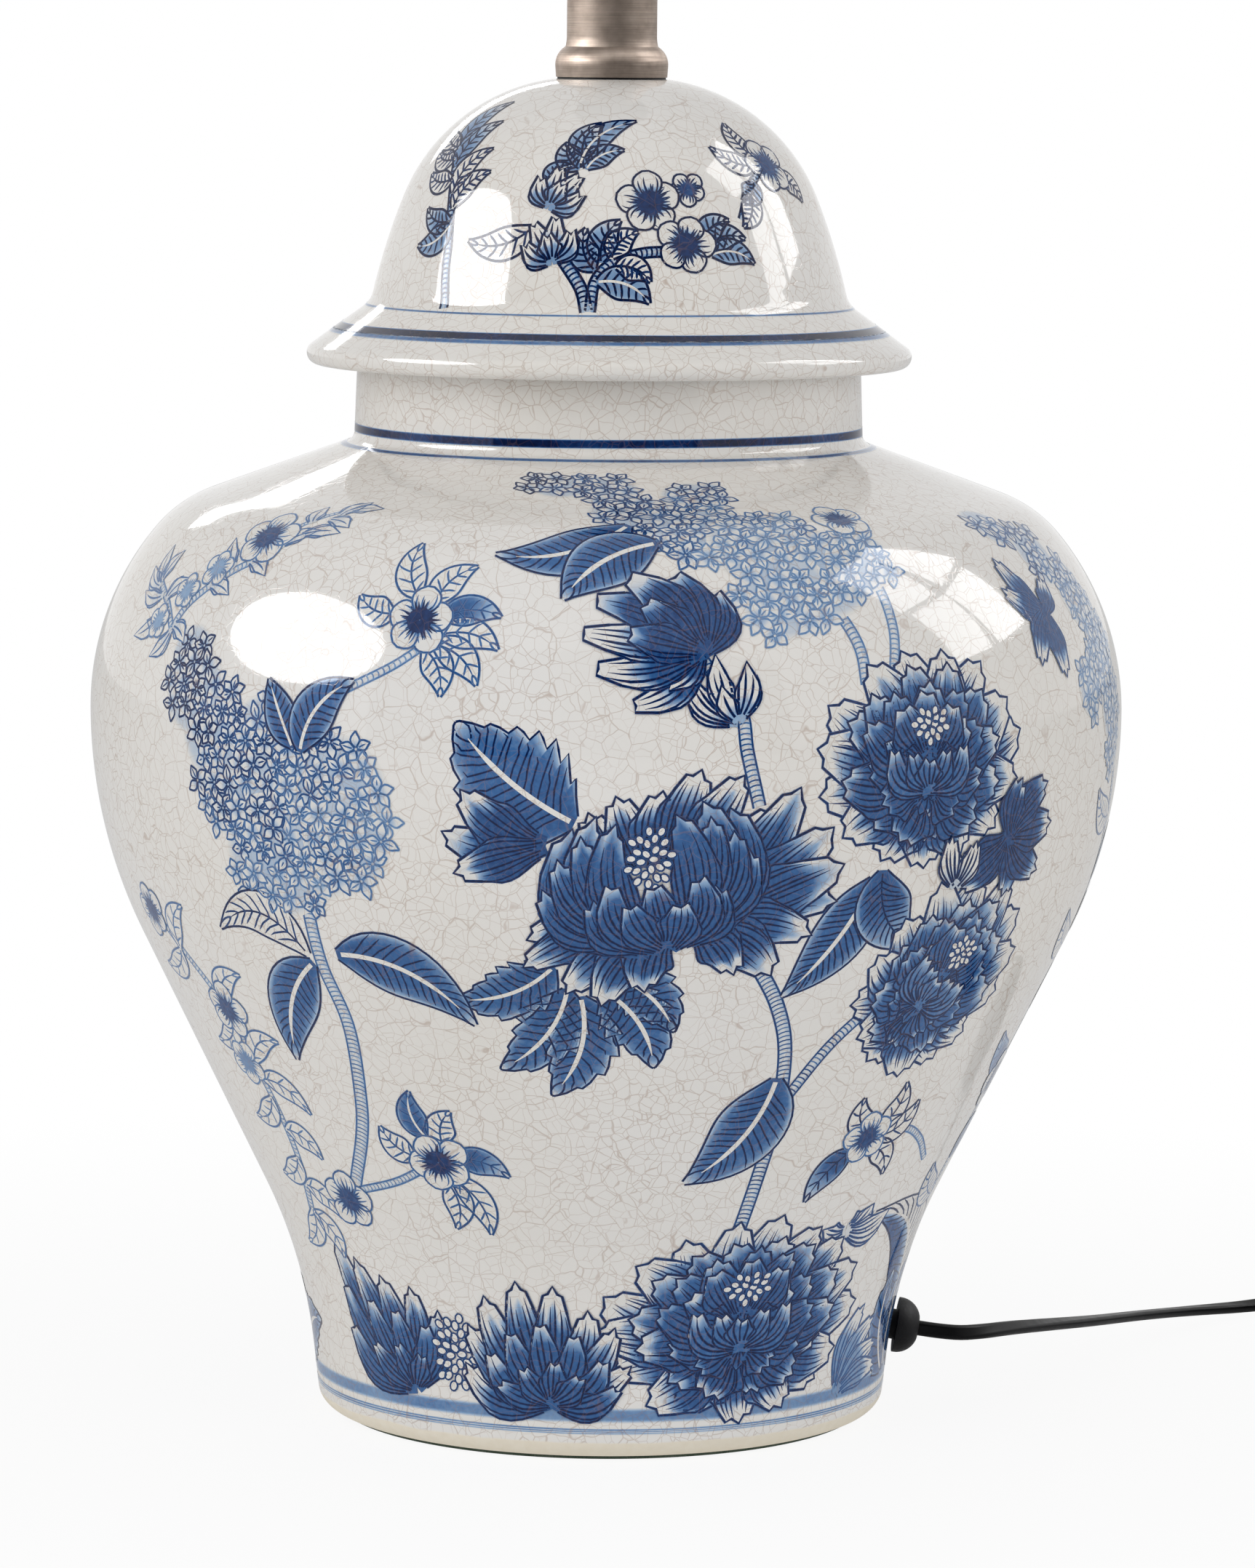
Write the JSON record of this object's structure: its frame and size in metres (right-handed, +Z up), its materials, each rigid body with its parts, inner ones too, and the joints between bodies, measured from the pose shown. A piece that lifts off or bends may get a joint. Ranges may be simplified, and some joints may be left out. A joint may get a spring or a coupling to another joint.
{
  "type": "table lamp",
  "caption": "Glazed ginger jar table lamp with a clamped lid, turned metal neck, switched screw lampholder and a wound up mains lead.",
  "frame": {"origin": "centre of the base felt, on the surface the lamp stands on", "axes": "+Z up the axis of the jar and neck, +X towards the grommet where the mains lead leaves the foot"},
  "size_m": [0.4265, 0.2974, 0.4713],
  "materials": {
    "glaze": "off-white crackled glaze with a blue painted pattern under it",
    "nickel": "brushed nickel, brushed round the axis",
    "zinc": "zinc plated steel",
    "brass": "plain brass",
    "black_plastic": "black moulded plastic, semi gloss",
    "insulator": "cream steatite",
    "rubber": "black rubber, matte",
    "lead": "black sheath, glossy",
    "tie": "black strap",
    "felt": "dark green felt"
  },
  "bodies": {
    "lamp": {"jar_body": "glaze", "jar_lid": "glaze", "collar": "nickel", "neck_tube": "nickel", "neck_nut": "nickel", "steel_washer": "zinc", "lock_washer": "zinc", "foot_nut": "zinc", "threaded_rod": "zinc", "entry_grub_screw": "zinc", "terminal_screws": "zinc", "screw_socket": "brass", "centre_contact": "brass", "terminal_blocks": "brass", "plug_pins": "brass", "lampholder_cap": "black_plastic", "lampholder_shell": "black_plastic", "plug_body": "black_plastic", "pin_sleeves": "black_plastic", "terminal_insulator": "insulator", "cord_grommet": "rubber", "cushion_washer": "rubber", "seat_washer": "rubber", "lid_gasket": "rubber", "cord_lead": "lead", "cord_coil": "lead", "cord_tail": "lead", "cord_inner": "lead", "core_wires": "lead", "cable_tie": "tie", "base_felt": "felt"},
    "switch_bar": {"push_bar": "black_plastic", "switch_bridge": "brass"},
    "shade_clamp": {"shade_ring": "black_plastic"}
  },
  "joints": [
    {"name": "push_bar_slide", "type": "slide", "parent": "lamp", "child": "switch_bar", "axis": [1, 0, 0], "range_m": [-0.003, 0.003]},
    {"name": "shade_ring_lift", "type": "slide", "parent": "lamp", "child": "shade_clamp", "axis": [0, 0, 1], "range_m": [-0.0065, 0.02]}
  ]
}
